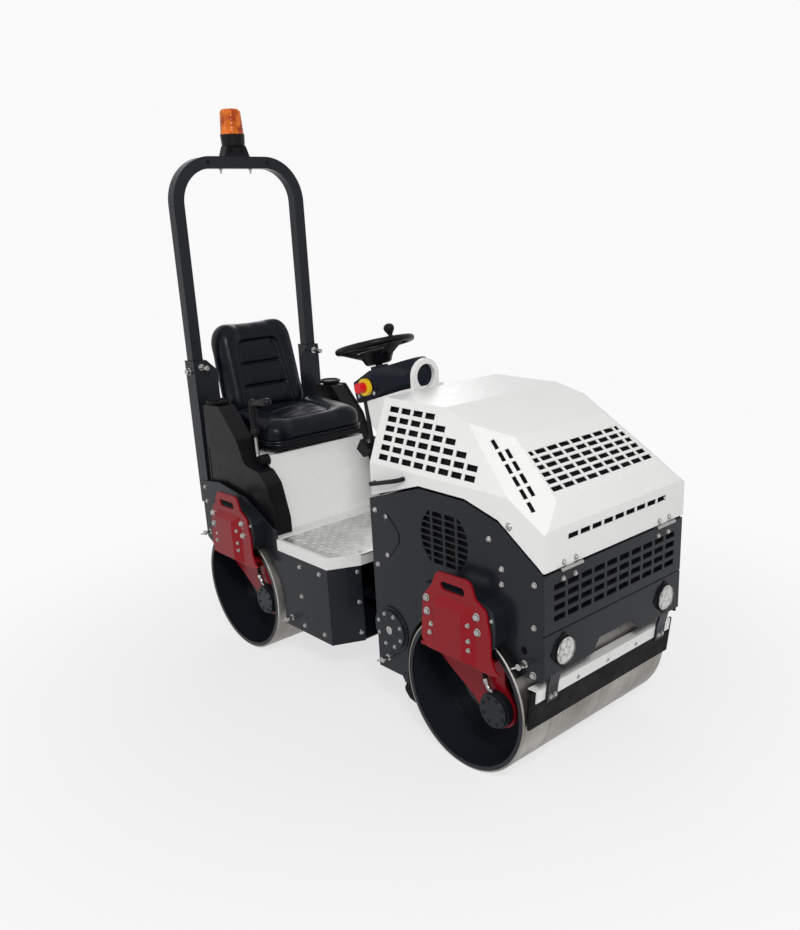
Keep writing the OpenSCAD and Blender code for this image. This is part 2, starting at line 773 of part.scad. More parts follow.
// Hinge halves inside the hood, each with one knuckle between the other half's two
module hinge_leaves() color("dimgray") front() for (y = hinge_ys) translate([0, y, 0]) {
  knuckle = 17.7;
  leaf_t = 4;
  skin_u = hood_front_u - hood_t;
  difference() {
    union() {
      rod_y(hinge_u, hinge_z, hinge_r, -knuckle, knuckle);
      block([skin_u - leaf_t, -knuckle, 807.5], [hinge_u, knuckle, 811]);
      block([skin_u - leaf_t, -hinge_half, 811], [skin_u, hinge_half, 846]);
    }
    rod_y(hinge_u, hinge_z, hinge_pin_r + run, -knuckle - 1, knuckle + 1);
  }
}

// Everything below a plane through [x, z] that drops towards the nose by an angle
module below(x, z, drop, sink) {
  far = 3000;
  translate([x, 0, z]) rotate([0, drop, 0]) translate([-far, -far, -2 * far - sink]) cube(2 * far);
}

// Planes of the hood: lean of the sides, main slope and slanted corner facets
side_lean = atan((panel_y - hood_top_y) / (hood_z - crease_z));
slope_u = 107;
slope_z = 1168;
slope_drop = 36.9;
facet_y = 228;
facet_turn = 46.8;
facet_tip = 41.2;

// The hood's faceted form, drawn in by a wall thickness
module hood_form(t) {
  bottom = 780;
  intersection() {
    side_slab([[hood_rear_u + t, bottom], [hood_rear_u + t, hood_z - t], [hood_front_u - t, hood_z - t],
      [hood_front_u - t, bottom]], -panel_y + t, panel_y - t);
    below(-151, hood_z, 15.6, t);
    below(slope_u, slope_z, slope_drop, t);
    below(315, 1012, 65, t);
    hood_side(1, t);
    hood_side(-1, t);
    hood_facet(1, t);
    hood_facet(-1, t);
  }
}

// Draws in the plane of the leaning side, from its crease up
module on_side(s) translate([0, s * panel_y, crease_z]) rotate([-s * (90 - side_lean), 0, 0]) children();

// Half space behind the leaning side
module hood_side(s, t) on_side(s) translate([-3000, -3000, -6000 - t]) cube(6000);

// Half space behind the slanted corner facet on one side
module hood_facet(s, t) on_facet(s) translate([-3000, -3000, -6000 - t]) cube(6000);

// Draws in the plane of the corner facet on one side
module on_facet(s) translate([slope_u, s * facet_y, slope_z]) rotate([0, 0, s * facet_turn])
  rotate([0, facet_tip, 0]) children();

// A slot's cutter through the hood's skin, in the plane of its facet
module vent(x0, x1, y0, y1) block([x0, y0, -3 * hood_t], [x1, y1, 2 * hood_t]);

// Stepped rows of slots on a leaning side
module side_vents(s) {
  counts = [8, 8, 7, 6, 5, 4];
  first_u = -394;
  first_h = 30;
  pitch = [60.5, 33.9];
  slot = [48, 20];
  on_side(s) for (r = [0:5], c = [0:counts[r] - 1])
    let(u = first_u + c * pitch[0], h = -s * (first_h + r * pitch[1]))
      vent(u - slot[0] / 2, u + slot[0] / 2, h - slot[1] / 2, h + slot[1] / 2);
}

// Rows on the main slope, cut off along the edges of the corner facets
module slope_vents() {
  first = 74;
  pitch = [29, 59];
  slot = [18, 49];
  edge = 231;
  spread = 5.8;
  translate([slope_u, 0, slope_z]) rotate([0, slope_drop, 0])
    for (r = [0:5], c = [-4:4]) let(x = first + r * pitch[0], y = c * pitch[1], reach = edge + r * spread)
      vent(x - slot[0] / 2, x + slot[0] / 2, max(y - slot[1] / 2, -reach), min(y + slot[1] / 2, reach));
}

// Two columns on a corner facet, along its outer edge
module facet_vents(s) {
  skew = 24.5;
  first = -4;
  pitch = 51;
  slot = [39, 13];
  columns = [[70.5, 0, 5], [45.4, 1, 4]];
  on_facet(s) rotate([0, 0, -s * skew]) for (column = columns, k = [column[1]:column[2]])
    let(x = first + k * pitch, y = s * column[0])
      vent(x - slot[0] / 2, x + slot[0] / 2, y - slot[1] / 2, y + slot[1] / 2);
}

// One row low on the front face
module front_vents() {
  pitch = 59;
  slot = [50, 18];
  row_z = 901;
  for (c = [-4:4]) translate([0, c * pitch, row_z])
    block([hood_front_u - 3 * hood_t, -slot[0] / 2, -slot[1] / 2],
      [hood_front_u + 1, slot[0] / 2, slot[1] / 2]);
}

module hood() color("white") front() {
  lift = hood_gap;
  difference() {
    hood_form(0);
    hood_form(hood_t);
    // Lower edge follows the side panels
    side_slab(concat([[wall_u - 10, 700], [wall_u - 10, 888 + lift]],
      [for (p = panel_top) [p[0], p[1] + lift]], [[340, 811], [370, 811], [370, 700]]), -400, 400);
    for (s = [-1, 1]) side_vents(s);
    slope_vents();
    for (s = [-1, 1]) facet_vents(s);
    front_vents();
  }
}

module hood_handles() color("black") front() pair() translate([-354, panel_y, 972]) rotate([0, -15, 0]) {
  half = 80;
  reach = 30;
  bend = 18;
  tube_r = 8;
  for (s = [-1, 1]) {
    rod_y(s * half, 0, tube_r, 0, reach - bend);
    translate([s * (half - bend), reach - bend, 0]) rotate(s > 0 ? 0 : 90) rotate_extrude(angle = 90)
      translate([bend, 0]) circle(r = tube_r, $fn = 24);
  }
  rod_x(reach, 0, tube_r, bend - half, half - bend);
}

module front_drum() color("silver") front() drum();

module steering_wheel() color("black") front() on_column() {
  ring_r = wheel_d / 2 - rim_r;
  hub_top = -34;
  hub_bottom = -76;
  spoke_w = 56;
  knob_turn = 348;
  rotate_extrude() translate([ring_r, 0]) circle(r = rim_r, $fn = 24);
  // Deep bowl of the hub
  rotate_extrude() polygon([[0, hub_bottom], [44, hub_bottom], [52, hub_bottom + 4], [72, hub_top + 4],
    [72, hub_top + 10], [66, hub_top + 14], [0, hub_top + 8]]);
  // Flat spokes that rise from the hub to the rim
  for (a = [0, 120, 240]) rotate(a) rotate([90, 0, 0]) translate([0, 0, -spoke_w / 2]) linear_extrude(spoke_w)
    polygon([[30, hub_top - 28], [ring_r, -9], [ring_r, 4], [30, hub_top - 10]]);
  translate([0, 0, -120]) cylinder(r = wheel_shaft_r, h = 50);
  // Spinner knob on the rim
  rotate(knob_turn) translate([ring_r, 0, 0]) rotate_extrude()
    polygon([[0, 0], [9, 0], [9, 18], [14, 26], [20, 36], [21, 45], [17, 54], [9, 59], [0, 60]]);
}

rear_frame();
footplate();
tread_plate();
seat_base();
seat_pan();
seat_cushion();
seat_back();
water_tanks();
tank_caps();
travel_lever();
rear_cans();
rear_brackets();
rear_hubs();
rear_motors();
rear_scrapers();
roll_bar_sockets();
hitch_fork();
steering_barrel();
rear_drum();
roll_bar();
beacon_base();
beacon_lens();
hitch_knuckle();
steering_rod();
front_frame();
front_panels();
front_grille();
lamp_panel();
lamp_housings();
lamp_lenses();
front_cans();
front_brackets();
front_hubs();
front_motors();
scraper_bar();
scraper_blade();
scraper_hangers();
engine();
side_covers();
dash_tower();
console();
stop_ring();
stop_button();
lifting_eye();
brake_pedal();
hinge_bases();
hood();
hinge_leaves();
hood_handles();
front_drum();
steering_wheel();
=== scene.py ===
"""Looks of an articulated tandem road roller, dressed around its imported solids."""

import json
import math

import bmesh
import bpy
from mathutils import Matrix, Vector


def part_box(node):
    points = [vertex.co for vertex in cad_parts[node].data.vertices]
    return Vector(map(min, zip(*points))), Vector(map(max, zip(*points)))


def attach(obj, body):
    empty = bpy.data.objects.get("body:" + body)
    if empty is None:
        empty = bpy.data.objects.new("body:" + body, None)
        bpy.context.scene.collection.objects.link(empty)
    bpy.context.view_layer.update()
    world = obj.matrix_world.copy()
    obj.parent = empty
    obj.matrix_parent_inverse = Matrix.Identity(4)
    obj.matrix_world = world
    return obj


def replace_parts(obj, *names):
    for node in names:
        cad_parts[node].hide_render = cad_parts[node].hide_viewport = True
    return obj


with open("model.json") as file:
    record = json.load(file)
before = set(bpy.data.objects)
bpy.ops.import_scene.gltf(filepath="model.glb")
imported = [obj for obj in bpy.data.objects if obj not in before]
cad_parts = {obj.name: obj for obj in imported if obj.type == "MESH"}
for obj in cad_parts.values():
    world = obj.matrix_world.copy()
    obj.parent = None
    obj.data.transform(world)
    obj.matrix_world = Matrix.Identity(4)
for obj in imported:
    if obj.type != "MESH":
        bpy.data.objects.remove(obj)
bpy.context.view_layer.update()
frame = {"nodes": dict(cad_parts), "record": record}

# The photograph's frame, in pixels
PHOTO_W = 800
PHOTO_H = 930

# The camera that took it: place in metres, line of sight, roll, focal length and principal point in pixels
CAMERA_PLACE = Vector((2.7134, -2.3011, 1.8452))
CAMERA_SIGHT = Vector((-0.70083, 0.64157, -0.31182))
CAMERA_ROLL = -0.0401
FOCAL_PX = 908.28
PRINCIPAL_PX = (436.04, 512.04)
SENSOR_MM = 36.0

# Colour of the backdrop behind the machine
BACKDROP = (0.955, 0.955, 0.955)

# Floor: half its width in metres, its grey, and the distances over which the backdrop takes it over
FLOOR_HALF = 40.0
FLOOR_GREY = 0.72
FADE_START = 0.6
FADE_END = 2.6
FADE_LEAST = 0.72

# Sky, and lamps as name, place and width in metres, and watts
SKY_COLOUR = (0.93, 0.96, 1.0)
SKY_STRENGTH = 0.45
LAMP_TARGET = Vector((0, 0, 0.8))
LAMPS = [
    ("key", (4.7, -3.4, 4.9), 1.6, 265),
    ("fill", (-1.5, -6.5, 3.2), 4.0, 60),
    ("back", (-5.0, 3.5, 4.0), 3.0, 55),
]


def link_object(name, data):
    """A new object in the scene."""
    obj = bpy.data.objects.new(name, data)
    bpy.context.scene.collection.objects.link(obj)
    return obj


# Places: millimetres, lengthwise from the axis of the front or the rear drum

MM = 0.001
FRONT_LOW, FRONT_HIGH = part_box("front_drum")
REAR_LOW, REAR_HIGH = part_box("rear_drum")
FRONT_X = (FRONT_LOW[0] + FRONT_HIGH[0]) / 2
REAR_X = (REAR_LOW[0] + REAR_HIGH[0]) / 2
DRUM_R = (FRONT_HIGH[2] - FRONT_LOW[2]) / 2
DRUM_HALF = (FRONT_HIGH[1] - FRONT_LOW[1]) / 2
SIDES = (-1, 1)
FORWARD = Vector((1, 0, 0))
ACROSS = Vector((0, 1, 0))
UP = Vector((0, 0, 1))

# Angles in degrees below which two faces shade as one
KIT_SMOOTH = 35
SOLID_SMOOTH = 28
PAD_SMOOTH = 180


def at_front(u, y, z):
    """A place measured from the front drum."""
    return Vector((FRONT_X + u * MM, y * MM, z * MM))


def at_rear(v, y, z):
    """A place measured from the rear drum."""
    return Vector((REAR_X + v * MM, y * MM, z * MM))


def outward(side):
    """Away from the machine's middle, on one side."""
    return Vector((0, side, 0))


def basis_along(axis):
    """A turn whose Z is the axis."""
    return Vector(axis).to_track_quat("Z", "Y").to_matrix()


def nearest_shift(low, high):
    """How many points one ring is turned on from another."""
    count = len(low)

    def gap(shift):
        return sum((low[j].co - high[(j + shift) % count].co).length for j in range(count))

    return min(range(count), key=gap)


class Kit:
    """Small parts of one finish on one body, gathered into one mesh. Sizes are in millimetres."""

    def __init__(self, name, body, slot):
        self.name = name
        self.body = body
        self.slot = slot
        self.mesh = bmesh.new()

    def lathe(self, place, axis, profile, sides=20):
        """Turns [radius, height] points round an axis through a place."""
        turn = basis_along(axis)
        rings = []
        for radius, height in profile:
            count = sides if radius > 0 else 1
            ring = []
            for k in range(count):
                angle = 2 * math.pi * k / sides
                spot = Vector((radius * math.cos(angle), radius * math.sin(angle), height)) * MM
                ring.append(self.mesh.verts.new(place + turn @ spot))
            rings.append(ring)
        for low, high in zip(rings, rings[1:]):
            self.bridge(low, high, sides)

    def bridge(self, low, high, sides):
        """Faces between two rings, either of which may be one point."""
        for k in range(sides):
            n = (k + 1) % sides
            if len(low) == 1:
                self.mesh.faces.new((low[0], high[n], high[k])[::-1])
            elif len(high) == 1:
                self.mesh.faces.new((low[k], low[n], high[0]))
            else:
                self.mesh.faces.new((low[k], low[n], high[n], high[k]))

    def tube(self, points, radius, sides=10, closed=False):
        """Sweeps a round section along points."""
        rings = []
        last = len(points) - 1
        for k, point in enumerate(points):
            before = points[k - 1] if k > 0 or closed else point
            after = points[(k + 1) % len(points)] if k < last or closed else point
            turn = basis_along((after - before).normalized())
            ring = []
            for j in range(sides):
                angle = 2 * math.pi * j / sides
                spot = Vector((math.cos(angle), math.sin(angle), 0)) * radius * MM
                ring.append(self.mesh.verts.new(point + turn @ spot))
            rings.append(ring)
        pairs = list(zip(rings, rings[1:])) + ([(rings[-1], rings[0])] if closed else [])
        for low, high in pairs:
            shift = nearest_shift(low, high)
            self.bridge(low, [high[(j + shift) % sides] for j in range(sides)], sides)
        if not closed:
            self.mesh.faces.new(rings[0][::-1])
            self.mesh.faces.new(rings[-1])

    def plate(self, origin, along, across, corners, thickness):
        """A flat prism on [along, across] corners, thickened against its normal."""
        normal = along.cross(across).normalized()
        top = [self.mesh.verts.new(origin + (along * a + across * b) * MM) for a, b in corners]
        low = [self.mesh.verts.new(v.co - normal * thickness * MM) for v in top]
        self.mesh.faces.new(top)
        self.mesh.faces.new(low[::-1])
        self.bridge(low, top, len(corners))

    def bolt(self, place, axis, size):
        """A washer under a hexagon head."""
        washer = [(size, -1), (size, 0.16 * size), (0.94 * size, 0.2 * size), (0, 0.2 * size)]
        head = [(0.8 * size, 0), (0.8 * size, 0.62 * size), (0.68 * size, 0.74 * size), (0, 0.74 * size)]
        self.lathe(place, axis, washer)
        self.lathe(place, axis, head, sides=6)

    def screw(self, place, axis, size):
        """A low domed head with a round socket."""
        dome = [(size, -1), (size, 0.15 * size), (0.75 * size, 0.42 * size), (0.3 * size, 0.5 * size)]
        socket = [(0.26 * size, 0.3 * size), (0, 0.3 * size)]
        self.lathe(place, axis, dome + socket, sides=16)

    def done(self, finishes):
        """Makes the gathered parts one piece that rides on its body."""
        bmesh.ops.recalc_face_normals(self.mesh, faces=self.mesh.faces)
        mesh = bpy.data.meshes.new(self.name)
        self.mesh.to_mesh(mesh)
        self.mesh.free()
        smooth(mesh, KIT_SMOOTH)
        mesh.materials.append(finishes[self.slot])
        piece = link_object(self.name, mesh)
        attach(piece, self.body)
        return piece


def smooth(mesh, degrees):
    """Smooth shading up to an angle."""
    mesh.polygons.foreach_set("use_smooth", [True] * len(mesh.polygons))
    mesh.set_sharp_from_angle(angle=math.radians(degrees))


# Camera, floor and light


def make_camera():
    """The photograph's camera, with its sight line off the middle of the frame."""
    data = bpy.data.cameras.new("photo_camera")
    data.sensor_width = SENSOR_MM
    data.lens = FOCAL_PX / PHOTO_H * SENSOR_MM
    data.shift_x = (PHOTO_W / 2 - PRINCIPAL_PX[0]) / PHOTO_H
    data.shift_y = (PRINCIPAL_PX[1] - PHOTO_H / 2) / PHOTO_H
    camera = link_object("photo_camera", data)
    turn = CAMERA_SIGHT.to_track_quat("-Z", "Y").to_matrix() @ Matrix.Rotation(CAMERA_ROLL, 3, "Z")
    camera.matrix_world = Matrix.Translation(CAMERA_PLACE) @ turn.to_4x4()
    bpy.context.scene.camera = camera


def make_floor():
    """A pale floor that fades into the backdrop with the distance from the machine."""
    half = FLOOR_HALF
    mesh = bpy.data.meshes.new("floor")
    corners = [(-half, -half, 0), (half, -half, 0), (half, half, 0), (-half, half, 0)]
    mesh.from_pydata(corners, [], [(0, 1, 2, 3)])
    floor = link_object("floor", mesh)
    material = bpy.data.materials.new("floor")
    material.use_nodes = True
    tree = material.node_tree
    tree.nodes.clear()
    matt = tree.nodes.new("ShaderNodeBsdfDiffuse")
    matt.inputs["Color"].default_value = (FLOOR_GREY, FLOOR_GREY, FLOOR_GREY, 1)
    glow = tree.nodes.new("ShaderNodeEmission")
    glow.inputs["Color"].default_value = (*BACKDROP, 1)
    glow.inputs["Strength"].default_value = 1.0
    place = tree.nodes.new("ShaderNodeTexCoord")
    distance = tree.nodes.new("ShaderNodeVectorMath")
    distance.operation = "LENGTH"
    fade = tree.nodes.new("ShaderNodeMapRange")
    fade.interpolation_type = "SMOOTHSTEP"
    fade.inputs["From Min"].default_value = FADE_START
    fade.inputs["From Max"].default_value = FADE_END
    fade.inputs["To Min"].default_value = FADE_LEAST
    fade.inputs["To Max"].default_value = 1.0
    seen = seen_directly(tree)
    share = tree.nodes.new("ShaderNodeMath")
    share.operation = "MULTIPLY"
    mix = tree.nodes.new("ShaderNodeMixShader")
    out = tree.nodes.new("ShaderNodeOutputMaterial")
    tree.links.new(place.outputs["Object"], distance.inputs[0])
    tree.links.new(distance.outputs["Value"], fade.inputs["Value"])
    tree.links.new(fade.outputs[0], share.inputs[0])
    tree.links.new(seen, share.inputs[1])
    tree.links.new(share.outputs[0], mix.inputs["Fac"])
    tree.links.new(matt.outputs[0], mix.inputs[1])
    tree.links.new(glow.outputs[0], mix.inputs[2])
    tree.links.new(mix.outputs[0], out.inputs["Surface"])
    mesh.materials.append(material)


def seen_directly(tree):
    """1 for rays from the camera, off a mirror or through glass."""
    path = tree.nodes.new("ShaderNodeLightPath")
    total = path.outputs["Is Camera Ray"]
    for kind in ("Is Glossy Ray", "Is Transmission Ray"):
        add = tree.nodes.new("ShaderNodeMath")
        add.operation = "MAXIMUM"
        tree.links.new(total, add.inputs[0])
        tree.links.new(path.outputs[kind], add.inputs[1])
        total = add.outputs[0]
    return total


def make_world():
    """A soft sky for light, and the plain backdrop where it is seen."""
    world = bpy.data.worlds.new("studio")
    bpy.context.scene.world = world
    world.use_nodes = True
    tree = world.node_tree
    tree.nodes.clear()
    sky = tree.nodes.new("ShaderNodeBackground")
    sky.inputs["Color"].default_value = (*SKY_COLOUR, 1)
    sky.inputs["Strength"].default_value = SKY_STRENGTH
    white = tree.nodes.new("ShaderNodeBackground")
    white.inputs["Color"].default_value = (*BACKDROP, 1)
    white.inputs["Strength"].default_value = 1.0
    mix = tree.nodes.new("ShaderNodeMixShader")
    out = tree.nodes.new("ShaderNodeOutputWorld")
    tree.links.new(seen_directly(tree), mix.inputs["Fac"])
    tree.links.new(sky.outputs[0], mix.inputs[1])
    tree.links.new(white.outputs[0], mix.inputs[2])
    tree.links.new(mix.outputs[0], out.inputs["Surface"])


def make_lamps():
    """Square lamps turned to the middle of the machine."""
    for name, place, width, watts in LAMPS:
        data = bpy.data.lights.new(name, "AREA")
        data.shape = "SQUARE"
        data.size = width
        data.energy = watts
        lamp = link_object(name, data)
        sight = (LAMP_TARGET - Vector(place)).to_track_quat("-Z", "Y").to_matrix().to_4x4()
        lamp.matrix_world = Matrix.Translation(Vector(place)) @ sight


# Finishes


class Finish:
    """A material of nodes around one Principled shader."""

    def __init__(self, name, colour, roughness, metallic=0.0):
        self.material = bpy.data.materials.new(name)
        self.material.use_nodes = True
        self.tree = self.material.node_tree
        self.shader = self.tree.nodes["Principled BSDF"]
        self.set("Base Color", (*colour, 1))
        self.set("Roughness", roughness)
        self.set("Metallic", metallic)
        self.place = self.node("ShaderNodeTexCoord").outputs["Object"]
        self.edge = None

    def node(self, kind, **settings):
        """A new node with its settings."""
        made = self.tree.nodes.new(kind)
        for key, value in settings.items():
            setattr(made, key, value)
        return made

    def link(self, source, target):
        self.tree.links.new(source, target)

    def set(self, socket, value):
        """One value for the whole surface."""
        self.shader.inputs[socket].default_value = value

    def feed(self, socket, source):
        """A value that changes over the surface."""
        self.link(source, self.shader.inputs[socket])

    def stretched(self, scale):
        """The object's own coordinates, scaled by axis."""
        mapping = self.node("ShaderNodeMapping")
        mapping.inputs["Scale"].default_value = scale
        self.link(self.place, mapping.inputs["Vector"])
        return mapping.outputs["Vector"]

    def noise(self, scale, detail=3.0, place=None):
        made = self.node("ShaderNodeTexNoise")
        made.inputs["Scale"].default_value = scale
        made.inputs["Detail"].default_value = detail
        self.link(place or self.place, made.inputs["Vector"])
        return made.outputs["Fac"]

    def ramp(self, source, stops):
        """A colour or grey for each [place, value] stop along the source."""
        made = self.node("ShaderNodeValToRGB")
        band = made.color_ramp
        while len(band.elements) < len(stops):
            band.elements.new(1.0)
        for element, (at, value) in zip(band.elements, stops):
            element.position = at
            element.color = (*value, 1) if isinstance(value, tuple) else (value, value, value, 1)
        self.link(source, made.inputs["Fac"])
        return made.outputs["Color"]

    def bump(self, height, strength, distance):
        """Relief of the surface, on top of softened edges."""
        made = self.node("ShaderNodeBump")
        made.inputs["Strength"].default_value = strength
        made.inputs["Distance"].default_value = distance
        self.link(height, made.inputs["Height"])
        if self.edge:
            self.link(self.edge, made.inputs["Normal"])
        self.feed("Normal", made.outputs["Normal"])

    def soften(self, radius):
        """Edges catch the light as if they were rounded."""
        made = self.node("ShaderNodeBevel", samples=4)
        made.inputs["Radius"].default_value = radius
        self.edge = made.outputs["Normal"]

    def mottle(self, colour, spread, scale, detail=1.0):
        """Small variation of a colour from place to place."""
        dark = tuple(c * (1 - spread) for c in colour)
        light = tuple(min(1.0, c * (1 + spread)) for c in colour)
        self.feed("Base Color", self.ramp(self.noise(scale, detail), [(0.3, dark), (0.7, light)]))

    def patchy(self, roughness, scale, high_stop):
        """Small variation of the gloss from place to place."""
        stops = [(0.3, roughness * 0.85), (high_stop, roughness * 1.2)]
        self.feed("Roughness", self.ramp(self.noise(scale, 1.0), stops))


# How far from an edge paint catches the light, in metres
PAINT_EDGE = 0.002


def paint(name, colour, roughness, spread, gloss, peel=0.05):
    """Sprayed paint with a faint orange peel, patchy gloss and edges that catch the light."""
    made = Finish(name, colour, roughness)
    made.soften(PAINT_EDGE)
    made.mottle(colour, spread, scale=3.0)
    made.patchy(roughness, scale=9.0, high_stop=0.75)
    made.set("Specular IOR Level", gloss)
    made.bump(made.noise(scale=130.0, detail=1.0), strength=peel, distance=0.002)
    return made.material


def frame_paint():
    return paint("frame_paint", (0.011, 0.013, 0.017), roughness=0.26, spread=0.14, gloss=0.18)


def white_paint():
    return paint("white_paint", (0.79, 0.78, 0.755), roughness=0.3, spread=0.01, gloss=0.4, peel=0.008)


def red_paint():
    return paint("red_paint", (0.24, 0.003, 0.008), roughness=0.22, spread=0.1, gloss=0.18)


def drum_steel():
    """Rolled steel, worn bright in streaks round the drum and stained in between."""
    made = Finish("drum_steel", (0.36, 0.34, 0.31), roughness=0.42, metallic=1.0)
    stain = made.noise(scale=5.0, detail=10.0)
    streak = made.noise(scale=3.0, detail=6.0, place=made.stretched((1.0, 30.0, 1.0)))
    streak_share = 0.25
    mixed = made.node("ShaderNodeMix", data_type="FLOAT")
    mixed.inputs["Factor"].default_value = streak_share
    made.link(stain, mixed.inputs["A"])
    made.link(streak, mixed.inputs["B"])
    stops = [(0.34, (0.20, 0.185, 0.165)), (0.5, (0.33, 0.315, 0.29)), (0.64, (0.46, 0.445, 0.42))]
    made.feed("Base Color", made.ramp(mixed.outputs[0], stops))
    made.feed("Roughness", made.ramp(stain, [(0.3, 0.36), (0.7, 0.6)]))
    made.bump(made.noise(scale=140.0, detail=8.0), strength=0.2, distance=0.001)
    return made.material


def bare_metal(name, colour, roughness, spread, scale):
    """Plain metal, a little uneven in tone."""
    made = Finish(name, colour, roughness, metallic=1.0)
    made.mottle(colour, spread, scale)
    return made.material


def tread_metal():
    return bare_metal("tread_metal", (0.62, 0.62, 0.6), roughness=0.4, spread=0.12, scale=24.0)


def plastic(name, colour, roughness, grain, gloss=0.3, edge=0.003, relief=0.06):
    """Moulded surface with a fine grain."""
    made = Finish(name, colour, roughness)
    if edge:
        made.soften(edge)
    made.mottle(colour, spread=0.25, scale=8.0)
    made.patchy(roughness, scale=17.0, high_stop=0.7)
    made.set("Specular IOR Level", gloss)
    made.bump(made.noise(grain, detail=1.0), strength=relief, distance=0.001)
    return made.material


def black_plastic():
    return plastic("black_plastic", (0.005, 0.005, 0.006), roughness=0.34, grain=500.0, gloss=0.13)


def vinyl():
    colour = (0.002, 0.003, 0.006)
    return plastic("vinyl", colour, roughness=0.31, grain=340.0, gloss=0.15, edge=0, relief=0.02)


def console_plastic():
    return plastic("console_plastic", (0.003, 0.005, 0.012), roughness=0.24, grain=600.0, gloss=0.15)


def rubber():
    return plastic("rubber", (0.006, 0.006, 0.006), roughness=0.6, grain=300.0, gloss=0.1)


def amber():
    """Coloured lens with painted highlights and painted shade in random patches, standing in for the lamp
    inside.
    """
    made = Finish("amber", (0.66, 0.115, 0.006), roughness=0.12)
    glint_and_shade_patches = made.noise(scale=38.0, detail=2.0, place=made.stretched((1.0, 1.0, 0.5)))
    # Painted shade at the dark stop and painted highlight at the bright stop, for the lamp seen through the
    # lens
    dark, bright = (0.36, 0.04, 0.002), (0.88, 0.21, 0.012)
    made.feed("Base Color", made.ramp(glint_and_shade_patches, [(0.38, dark), (0.66, bright)]))
    made.set("Specular IOR Level", 0.22)
    return made.material


def lamp_glass():
    """Clear cover with a slight ripple."""
    made = Finish("lamp_glass", (1.0, 1.0, 1.0), roughness=0.0)
    made.set("Transmission Weight", 1.0)
    made.set("IOR", 1.3)
    made.bump(made.noise(scale=70.0, detail=1.0), strength=0.2, distance=0.002)
    return made.material


def stop_yellow():
    return plastic("stop_yellow", (0.82, 0.52, 0.01), roughness=0.3, grain=300.0)


def stop_red():
    return plastic("stop_red", (0.62, 0.006, 0.012), roughness=0.25, grain=300.0)


def engine_grey():
    return plastic("engine_grey", (0.02, 0.02, 0.022), roughness=0.6, grain=200.0)


def bright_steel():
    return bare_metal("bright_steel", (0.38, 0.38, 0.37), roughness=0.3, spread=0.14, scale=40.0)


FINISH_MAKERS = [
    frame_paint, white_paint, red_paint, drum_steel, tread_metal, black_plastic, vinyl, console_plastic,
    rubber, amber, lamp_glass, stop_yellow, stop_red, engine_grey, bright_steel,
]


def dress_nodes(finishes):
    """Each solid takes the finish of its slot in the record."""
    for part in frame["record"]["subparts"]:
        mesh = frame["nodes"][part["node"]].data
        mesh.materials.clear()
        mesh.materials.append(finishes[part["material_slot"]])
        smooth(mesh, SOLID_SMOOTH)


# Sides of a ring round a drum
DRUM_SIDES = 128


def dress_drum(node, axis_x, finishes):
    """Bare steel outside and on the rims, paint inside."""
    mesh = frame["nodes"][node].data
    mesh.materials.append(finishes["frame_paint"])
    rim = 20 * MM
    faces_axis = -0.5
    for face in mesh.polygons:
        spoke = Vector((face.center.x - axis_x, 0, face.center.z - DRUM_R))
        inward = face.normal.dot(spoke.normalized()) < faces_axis
        if spoke.length < DRUM_R - rim or inward:
            face.material_index = 1


def add_seams(name, body, axis_x, finishes):
    """The welds that join a drum's rolled shell to its end rings."""
    from_end = 140
    bead = 3
    crest, shoulder = 0.8, 0.5
    kit = Kit(name, body, "drum_steel")
    reach = DRUM_R / MM
    profile = [(reach - 1, -bead), (reach + shoulder, -bead / 2), (reach + crest, 0),
               (reach + shoulder, bead / 2), (reach - 1, bead)]
    for side in SIDES:
        place = Vector((axis_x, side * (DRUM_HALF - from_end * MM), DRUM_R))
        kit.lathe(place, ACROSS, profile, DRUM_SIDES)
    kit.done(finishes)


def add_rim_paint(name, body, axis_x, finishes):
    """Paint on the ends of a drum's shell that stops short of the worn edge."""
    inner, outer = 22, 7
    proud = 0.4
    kit = Kit(name, body, "frame_paint")
    reach = DRUM_R / MM
    for side in SIDES:
        place = Vector((axis_x, side * DRUM_HALF, DRUM_R))
        profile = [(reach - inner, -1), (reach - inner, proud), (reach - outer, proud), (reach - outer, -1)]
        kit.lathe(place, outward(side), profile, DRUM_SIDES)
    kit.done(finishes)


# Screens behind the slots

SIDE_Y = 372
HOOD_SIDE_RUN = (87, 220)
SLOPE_DROP = math.radians(36.9)
FACET_TURN = math.radians(46.8)
FACET_TIP = math.radians(41.2)
FACET_SKEW = math.radians(24.5)
SCREEN_SINK = 14
SCREEN_T = 2

# Where the hood's top turns into its slope, lengthwise and up, and how far across its corner facet starts
HOOD_BREAK = (107, 1168)
FACET_Y = 228
HOOD_SIDE_FOOT = 1020


def mirrored(corners):
    """An outline turned over lengthwise, in the same sense of turn."""
    return [(-a, b) for a, b in corners][::-1]


